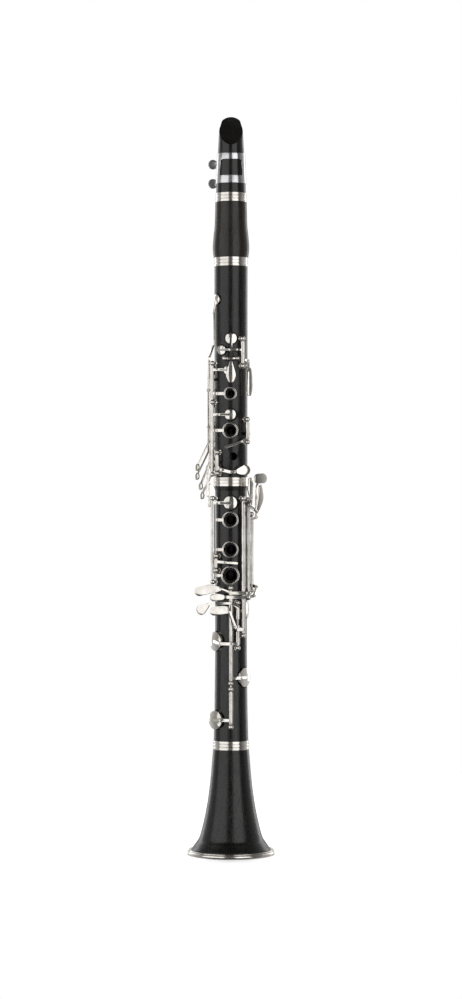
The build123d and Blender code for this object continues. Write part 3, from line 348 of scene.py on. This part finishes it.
# colours and roughness of the mouthpiece, reed, cork and pads
soft = {
    "ebonite": {"clean": (0.0025, 0.0028, 0.0026), "worn": (0.008, 0.007, 0.0055),
                "smooth": 0.20, "rough": 0.30, "marked": 0.42},
    "cane": {"dark": (0.40, 0.27, 0.11), "light": (0.54, 0.40, 0.19), "pore": (0.24, 0.15, 0.06),
             "smooth": 0.45, "rough": 0.65},
    "cork": {"light": (0.50, 0.33, 0.17), "dark": (0.34, 0.20, 0.09), "pit": (0.16, 0.09, 0.05),
             "smooth": 0.75, "rough": 0.9},
    "padSkin": {"light": (0.80, 0.71, 0.56), "dark": (0.66, 0.55, 0.40), "stain": (0.46, 0.34, 0.22),
                "smooth": 0.45, "rough": 0.65},
}


def makeWood(name):
    tone = woods[name]
    wood = Finish(name, Specular_IOR_Level=0.55)
    grain = wood.effect(grainGroup)
    hands = wood.effect(handlingGroup, Smudge_Size=45)
    body = wood.colours(grain.outputs["Streak"], tone["dark"], tone["light"])
    body = wood.colours(grain.outputs["Pore"], body, tone["pore"])
    sheen = wood.mixed(wood.range(hands.outputs["Smudge"], tone["smooth"], tone["rough"]),
                       wood.range(grain.outputs["Pore"], tone["smooth"], 0.6))
    return wood.paint(body, sheen, wood.range(grain.outputs["Pore"], 1, 0), 0.00006, 0.35)


def makeMetal(name):
    tone = metals[name]
    metal = Finish(name, Metallic=1.0)
    hands = metal.effect(handlingGroup, Smudge_Size=110, Mark_Size=1500)
    colour = metal.colours(hands.outputs["Smudge"], tone["clean"], tone["dull"])
    gloss = metal.mixed(metal.range(hands.outputs["Smudge"], tone["smooth"], tone["rough"]),
                        metal.range(hands.outputs["Mark"], tone["smooth"], tone["rough"] + 0.2), 0.35)
    return metal.paint(colour, gloss, hands.outputs["Mark"], 0.00002, 0.15)


def makeRingMetal():
    tone = metals["silverPlate"]
    metal = Finish("turnedRing", Metallic=1.0)
    lathe = metal.effect(turningGroup)
    hands = metal.effect(handlingGroup, Smudge_Size=80)
    colour = metal.colours(hands.outputs["Smudge"], tone["clean"], tone["dull"])
    gloss = metal.mixed(metal.range(hands.outputs["Smudge"], tone["smooth"], tone["rough"]),
                        metal.range(lathe.outputs["Ring"], tone["smooth"], tone["rough"]))
    return metal.paint(colour, gloss, lathe.outputs["Ring"], 0.00002, 0.25)


def makeEbonite():
    tone = soft["ebonite"]
    rubber = Finish("ebonite", Coat_Weight=0.15, Coat_Roughness=0.12)
    hands = rubber.effect(handlingGroup, Smudge_Size=70, Mark_Size=1100)
    colour = rubber.colours(hands.outputs["Smudge"], tone["clean"], tone["worn"])
    gloss = rubber.mixed(rubber.range(hands.outputs["Smudge"], tone["smooth"], tone["rough"]),
                         rubber.range(hands.outputs["Mark"], tone["smooth"], tone["marked"]), 0.25)
    return rubber.paint(colour, gloss, hands.outputs["Mark"], 0.00001, 0.1)


def makeCane():
    tone = soft["cane"]
    cane = Finish("cane", Specular_IOR_Level=0.35)
    fibre = cane.effect(grainGroup, Across=900, Along=14, Pores=3000, Pore_Length=160)
    stain = cane.effect(handlingGroup, Smudge_Size=120)
    body = cane.colours(fibre.outputs["Streak"], tone["dark"], tone["light"])
    body = cane.colours(fibre.outputs["Pore"], body, tone["pore"])
    rough = cane.range(stain.outputs["Smudge"], tone["smooth"], tone["rough"])
    return cane.paint(body, rough, fibre.outputs["Streak"], 0.00008, 0.4)


def makeCork():
    tone = soft["cork"]
    cork = Finish("cork", Specular_IOR_Level=0.3)
    cells = cork.effect(handlingGroup, Smudge_Size=700, Mark_Size=500)
    broad = cork.effect(handlingGroup, Smudge_Size=180)
    body = cork.colours(cells.outputs["Smudge"], tone["light"], tone["dark"])
    body = cork.colours(broad.outputs["Mark"], body, tone["pit"])
    rough = cork.range(broad.outputs["Smudge"], tone["smooth"], tone["rough"])
    return cork.paint(body, rough, cells.outputs["Smudge"], 0.0002, 0.6)


def makePadSkin():
    tone = soft["padSkin"]
    skin = Finish("padSkin", Subsurface_Weight=0.05, Specular_IOR_Level=0.35)
    creases = skin.effect(handlingGroup, Smudge_Size=420, Mark_Size=900)
    stain = skin.effect(handlingGroup, Smudge_Size=90)
    body = skin.colours(creases.outputs["Smudge"], tone["light"], tone["dark"])
    body = skin.colours(stain.outputs["Mark"], body, tone["stain"])
    rough = skin.range(stain.outputs["Smudge"], tone["smooth"], tone["rough"])
    return skin.paint(body, rough, creases.outputs["Smudge"], 0.0001, 0.5)


finishes = {
    "grenadilla": makeWood("grenadilla"),
    "barrel_wood": makeWood("barrelWood"),
    "ebonite": makeEbonite(),
    "cane": makeCane(),
    "cork": makeCork(),
    "pad_skin": makePadSkin(),
    "steel": makeMetal("turnedSteel"),
    "bush_metal": makeMetal("polishedBush"),
    "key_metal": makeMetal("silverPlate"),
    "ring_metal": makeRingMetal(),
}
finishes["post_metal"] = finishes["key_metal"]
finishes["ligature_metal"] = makeMetal("ligatureMetal")
print("finishes ready:", len(finishes))

slotOf = {row["node"]: row["material_slot"] for row in frame["record"]["subparts"]}
bodies = frame["record"]["behaviour"]["bodies"]
bodyOf = {node: body for body, group in bodies.items() for node in group}
for node, shape in frame["nodes"].items():
    shape.data.materials.clear()
    shape.data.materials.append(finishes[slotOf[node]])
print("nodes painted")


# ---- making and placing pieces ----
# angles in degrees: an edge sharper than crease shades hard, and one sharper than turned or
# shaped is rounded over
angles = {"crease": 50, "turned": 40, "shaped": 30, "flat": 0.8}
# the width of the rounding on turned pieces, and how many steps go round the bore
turning = {"woodEdge": 0.0001, "ringEdge": 0.00012, "steps": 96, "bellSteps": 128}


def roundedEdges(bm, width, sharpest):
    sharp = [edge for edge in bm.edges
             if len(edge.link_faces) == 2 and edge.calc_face_angle() > math.radians(sharpest)]
    bmesh.ops.bevel(bm, geom=sharp, offset=width, offset_type="OFFSET", segments=2, profile=0.5,
                    affect="EDGES", clamp_overlap=True, material=-1)


def addPiece(name, bm, node):
    # smooth shading with hard lines only where two faces meet at more than the crease
    for face in bm.faces:
        face.smooth = True
    crease = math.radians(angles["crease"])
    for edge in bm.edges:
        edge.smooth = len(edge.link_faces) == 2 and edge.calc_face_angle() < crease
    mesh = bpy.data.meshes.new(name)
    bm.to_mesh(mesh)
    bm.free()
    piece = bpy.data.objects.new(name, mesh)
    bpy.context.scene.collection.objects.link(piece)
    mesh.materials.append(finishes[slotOf[node]])
    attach(piece, bodyOf[node])
    return piece


def turnedPiece(name, outlines, node, edgeWidth, steps=turning["steps"]):
    # each closed (radius, height) outline is turned round the bore
    bm = bmesh.new()
    for outline in outlines:
        corners = [bm.verts.new((radius, 0, height)) for radius, height in outline]
        rim = [bm.edges.new(pair) for pair in zip(corners, corners[1:] + corners[:1])]
        bmesh.ops.spin(bm, geom=corners + rim, cent=(0, 0, 0), axis=(0, 0, 1), angle=math.tau,
                       steps=steps, use_merge=True, use_duplicate=False)
    bmesh.ops.remove_doubles(bm, verts=bm.verts, dist=1e-6)
    bmesh.ops.recalc_face_normals(bm, faces=bm.faces)
    roundedEdges(bm, edgeWidth, angles["turned"])
    return addPiece(name, bm, node)


def smoothLine(points, steps=6):
    # a smooth line through (radius, height) points
    spots = [Vector(point) for point in points]
    line = []
    for index in range(len(spots) - 1):
        start, end = spots[index], spots[index + 1]
        before = spots[max(index - 1, 0)]
        after = spots[min(index + 2, len(spots) - 1)]
        span = interpolate_bezier(start, start + (end - before) / 6, end - (after - start) / 6, end,
                                  steps + 1)
        line += [tuple(spot)[:2] for spot in span[:-1]]
    return line + [tuple(spots[-1])]


def softenedNode(node, width):
    # a copy of a CAD shape whose sharp edges are rounded, as polishing leaves them
    bm = bmesh.new()
    bm.from_mesh(frame["nodes"][node].data)
    bmesh.ops.remove_doubles(bm, verts=bm.verts, dist=2e-6)
    bmesh.ops.dissolve_limit(bm, angle_limit=math.radians(angles["flat"]), verts=bm.verts,
                             edges=bm.edges)
    roundedEdges(bm, width, angles["shaped"])
    piece = addPiece(node + "Shape", bm, node)
    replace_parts(piece, node)
    return piece


# bell and its two rings
bell = {
    "outer": [(0.0360, 0.0044), (0.0314, 0.0108), (0.0280, 0.0169), (0.0237, 0.0341), (0.0206, 0.0513),
              (0.0184, 0.0686), (0.0164, 0.0920)],
    "inner": [(0.0112, 0.0850), (0.0140, 0.0680), (0.0170, 0.0500), (0.0203, 0.0300), (0.0250, 0.0124),
              (0.0290, 0.0064), (0.0336, 0.0010)],
    "neck": 0.0945,
    "ringOuter": 0.0162,
    "ringWall": 0.0016,
    "socket": 0.01355,
    "beadTop": 0.0034,
    "beadSteps": 12,
    "lipTop": 0.0044,
    "lipInset": 0.0013,
    "lipSteps": 6,
}
grooves = {"depth": 0.00045, "width": 0.0006, "bands": 3}


def groovedOutline(low, high, outer, wall):
    # a socket ring with turned grooves between its bands
    band = (high - low - grooves["width"] * (grooves["bands"] - 1)) / grooves["bands"]
    outline = [(outer - wall, low)]
    height = low
    for number in range(grooves["bands"]):
        if number:
            floor = outer - grooves["depth"]
            outline += [(floor, height), (floor, height + grooves["width"])]
            height += grooves["width"]
        outline += [(outer, height), (outer, height + band)]
        height += band
    return outline + [(outer - wall, high)]


def makeBell():
    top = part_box("bell_rings")[1][2]
    seat = bell["ringOuter"] - bell["ringWall"]
    outline = smoothLine(bell["outer"])
    outline += [(bell["ringOuter"], bell["neck"]), (seat, bell["neck"]), (seat, top)]
    outline += [(bell["socket"], top)]
    outline += [(bell["socket"], bell["inner"][0][1])] + smoothLine(bell["inner"])
    outline += [(bell["outer"][0][0], bell["inner"][-1][1])]
    piece = turnedPiece("bellWood", [outline], "bell", turning["woodEdge"], turning["bellSteps"])
    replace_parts(piece, "bell")


def makeBellRings():
    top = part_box("bell_rings")[1][2]
    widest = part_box("bell_rings")[1][0]
    inside = bell["outer"][0][0]
    radius = bell["beadTop"] / 2
    bead = [(inside, 0)]
    for step in range(bell["beadSteps"] + 1):
        turn = math.pi * (step / bell["beadSteps"] - 0.5)
        bead.append((widest - radius + radius * math.cos(turn), radius + radius * math.sin(turn)))
    lip = (bell["lipTop"] - bell["beadTop"]) / 2
    for step in range(bell["lipSteps"] + 1):
        turn = math.pi * (step / bell["lipSteps"] - 0.5)
        bead.append((widest - bell["lipInset"] + lip * math.cos(turn),
                     bell["beadTop"] + lip + lip * math.sin(turn)))
    bead.append((inside, bell["lipTop"]))
    rings = [bead, groovedOutline(bell["neck"], top, bell["ringOuter"], bell["ringWall"])]
    piece = turnedPiece("bellRings", rings, "bell_rings", turning["ringEdge"], turning["bellSteps"])
    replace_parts(piece, "bell_rings")


makeBell()
makeBellRings()
print("bell made")

# barrel and its rings, and the ring round the lower joint's socket
barrel = {
    "outer": [(0.0156, 0.0080), (0.0165, 0.0167), (0.01565, 0.0285), (0.0147, 0.0380),
              (0.0142, 0.0580)],
    "ringHeight": 0.008,
    "lowRing": 0.0152,
    "highRing": 0.0140,
    "ringWall": 0.0016,
    "socket": 0.01145,
    "bore": 0.00735,
    "lowSocket": 0.0175,
    "highSocket": 0.0160,
}
lowerSocket = {"outer": 0.0156, "wall": 0.0016}


def makeBarrel():
    low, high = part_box("barrel_rings")[0][2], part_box("barrel_rings")[1][2]
    lowSeat, highSeat = barrel["lowRing"] - barrel["ringWall"], barrel["highRing"] - barrel["ringWall"]
    lowEdge, highEdge = low + barrel["ringHeight"], high - barrel["ringHeight"]
    lowStep, highStep = low + barrel["lowSocket"], high - barrel["highSocket"]
    socket, bore = barrel["socket"], barrel["bore"]
    outline = [(radius, low + height) for radius, height in smoothLine(barrel["outer"])]
    outline += [(highSeat, highEdge), (highSeat, high), (socket, high), (socket, highStep)]
    outline += [(bore, highStep), (bore, lowStep), (socket, lowStep), (socket, low)]
    outline += [(lowSeat, low), (lowSeat, lowEdge)]
    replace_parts(turnedPiece("barrelWood", [outline], "barrel", turning["woodEdge"]), "barrel")
    rings = [groovedOutline(low, lowEdge, barrel["lowRing"], barrel["ringWall"]),
             groovedOutline(highEdge, high, barrel["highRing"], barrel["ringWall"])]
    piece = turnedPiece("barrelRings", rings, "barrel_rings", turning["ringEdge"])
    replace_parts(piece, "barrel_rings")


def makeLowerSocketRing():
    node = "lower_joint_socket_ring"
    low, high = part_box(node)[0][2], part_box(node)[1][2]
    ring = groovedOutline(low, high, lowerSocket["outer"], lowerSocket["wall"])
    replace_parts(turnedPiece("lowerSocketRing", [ring], node, turning["ringEdge"]), node)


makeBarrel()
makeLowerSocketRing()
print("barrel made")

# keywork and small fittings: the CAD shapes with their edges polished round
edgeWidths = {"key_metal": 0.00022, "post_metal": 0.00020, "bush_metal": 0.00030,
              "ligature_metal": 0.00018, "pad_skin": 0.00045, "ebonite": 0.00035, "cane": 0.00012}
keptPlain = {"thumb_rest"}  # its eye meets the block in slivers that a bevel spoils
for node in sorted(frame["nodes"]):
    width = edgeWidths.get(slotOf[node])
    if width is not None and node not in keptPlain:
        softenedNode(node, width)
print("keywork polished")
